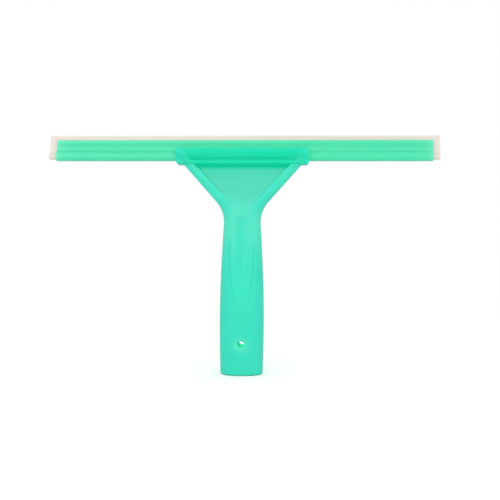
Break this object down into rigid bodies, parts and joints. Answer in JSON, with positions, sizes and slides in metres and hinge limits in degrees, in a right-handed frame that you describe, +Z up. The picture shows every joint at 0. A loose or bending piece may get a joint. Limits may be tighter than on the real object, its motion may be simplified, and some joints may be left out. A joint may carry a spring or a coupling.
{
  "type": "window cleaning squeegee",
  "caption": "Hand squeegee for windows: a moulded mint-green T handle grips a plastic channel that holds a long pale rubber blade.",
  "frame": {"origin": "centre of the round socket's mouth at the handle's open end", "axes": "+Z up the handle from its open end to the blade, +X along the blade, the thumb side of the handle faces -Y"},
  "size_m": [0.3, 0.0278, 0.1824],
  "materials": {
    "handle_plastic": "pearly translucent polypropylene, satin, with a matt panel",
    "channel_plastic": "satin extrusion, slightly translucent",
    "blade_rubber": "pale translucent, smooth"
  },
  "bodies": {
    "handle": {"handle": "handle_plastic"},
    "channel": {"channel": "channel_plastic"},
    "blade": {"blade": "blade_rubber"}
  },
  "joints": [
    {"name": "channel_slide", "type": "slide", "parent": "handle", "child": "channel", "axis": [1, 0, 0], "range_m": [-0.093, 0.093]},
    {"name": "blade_slide", "type": "slide", "parent": "channel", "child": "blade", "axis": [1, 0, 0], "range_m": [-0.28, 0.28]}
  ]
}
